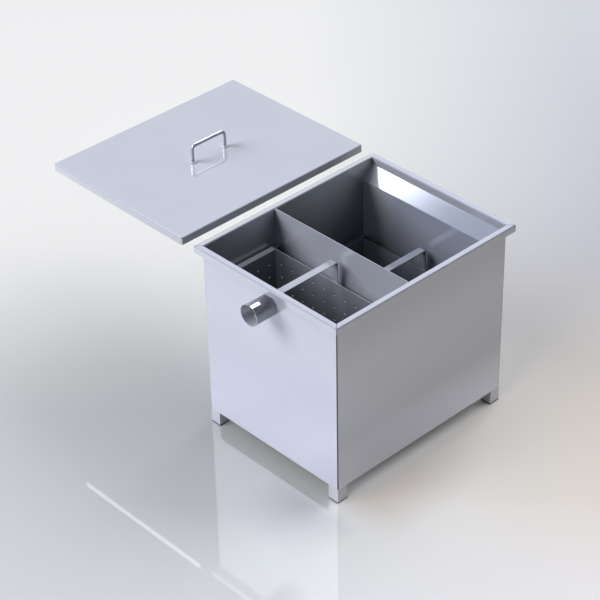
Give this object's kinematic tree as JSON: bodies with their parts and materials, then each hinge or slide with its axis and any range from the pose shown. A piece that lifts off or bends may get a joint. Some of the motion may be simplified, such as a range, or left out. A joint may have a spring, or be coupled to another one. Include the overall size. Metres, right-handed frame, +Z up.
{
  "type": "grease trap",
  "caption": "Stainless steel tank on short legs with lift-out strainer baskets, a divider, an outlet baffle and a lift-off lid, to hold grease back from kitchen waste water.",
  "frame": {"origin": "on the ground, under the middle of the tank", "axes": "+X across the tank, away from the side where the lid stands; +Y along the flow, from the inlet to the outlet; +Z up"},
  "size_m": [0.8955, 0.617, 0.5155],
  "materials": {
    "satin_stainless": "satin",
    "black_plastic": "matte",
    "seal_rubber": "matte"
  },
  "bodies": {
    "root": {"front_panel": "satin_stainless", "back_panel": "satin_stainless", "left_panel": "satin_stainless", "right_panel": "satin_stainless", "floor_panel": "satin_stainless", "leg_front_left": "satin_stainless", "leg_front_right": "satin_stainless", "leg_back_left": "satin_stainless", "leg_back_right": "satin_stainless", "cap_front_left": "black_plastic", "cap_front_right": "black_plastic", "cap_back_left": "black_plastic", "cap_back_right": "black_plastic", "divider": "satin_stainless", "outlet_baffle": "satin_stainless", "inlet_pipe": "satin_stainless", "outlet_pipe": "satin_stainless", "first_ledge_left": "satin_stainless", "first_ledge_right": "satin_stainless", "second_ledge_left": "satin_stainless", "second_ledge_right": "satin_stainless", "first_basket": "satin_stainless", "first_basket_handle": "satin_stainless", "second_basket": "satin_stainless", "second_basket_handle": "satin_stainless", "lid": "satin_stainless", "lid_gasket": "seal_rubber", "lid_handle": "satin_stainless", "rosette_front": "satin_stainless", "rosette_back": "satin_stainless", "handle_screws": "satin_stainless"}
  },
  "joints": []
}
